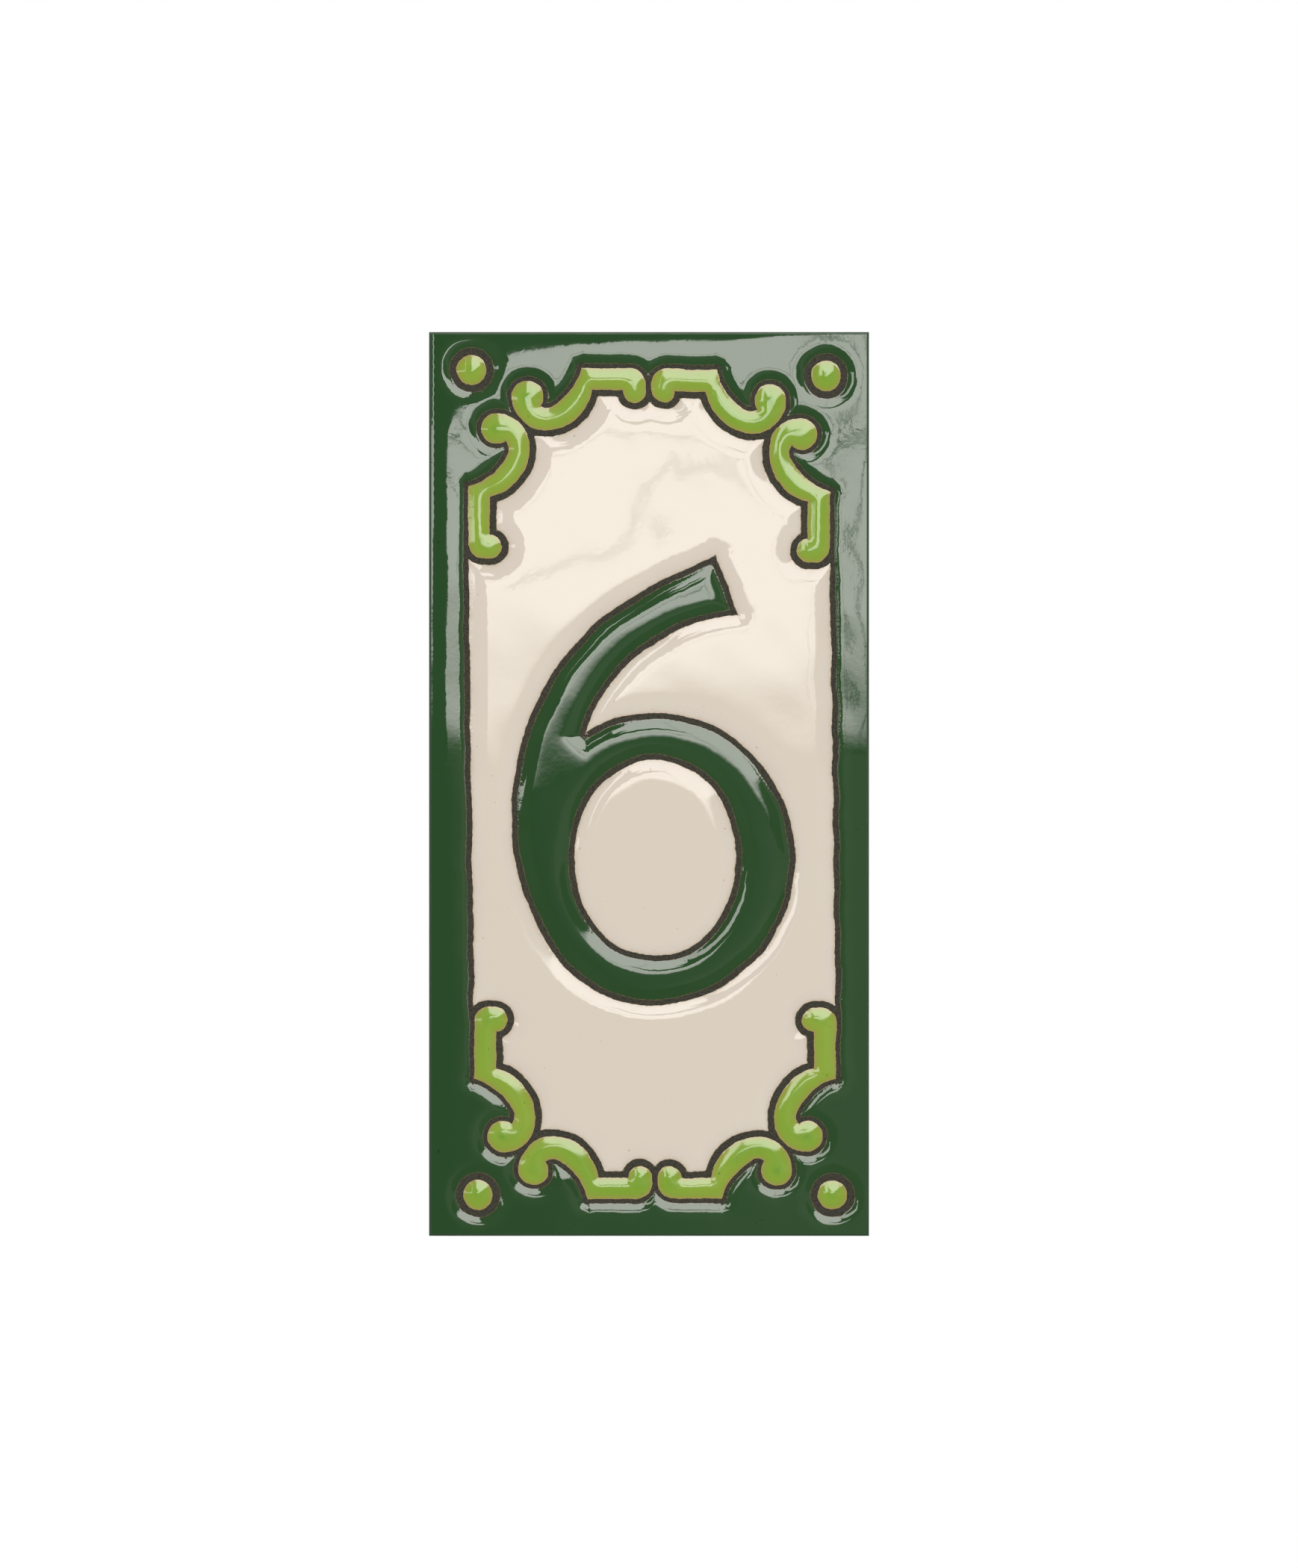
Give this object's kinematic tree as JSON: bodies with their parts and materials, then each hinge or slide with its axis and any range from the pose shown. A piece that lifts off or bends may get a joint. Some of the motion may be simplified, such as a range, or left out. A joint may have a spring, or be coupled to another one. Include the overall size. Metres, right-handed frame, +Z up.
{
  "type": "house number tile",
  "caption": "Upright glazed ceramic house number tile with a raised digit on a cream panel, in a green frame with scrolls and corner dots, and a flat back for bonding to a wall.",
  "frame": {"origin": "centre of the flat back", "axes": "+Z up the tile as it is fixed, +Y out of the back towards the wall, so that the glazed face looks along -Y"},
  "size_m": [0.073, 0.0064, 0.15],
  "materials": {
    "glazed_tile": "thick glossy glazes held apart by a matt dark line, on an unglazed body"
  },
  "bodies": {
    "root": {"tile": "glazed_tile"}
  },
  "joints": []
}
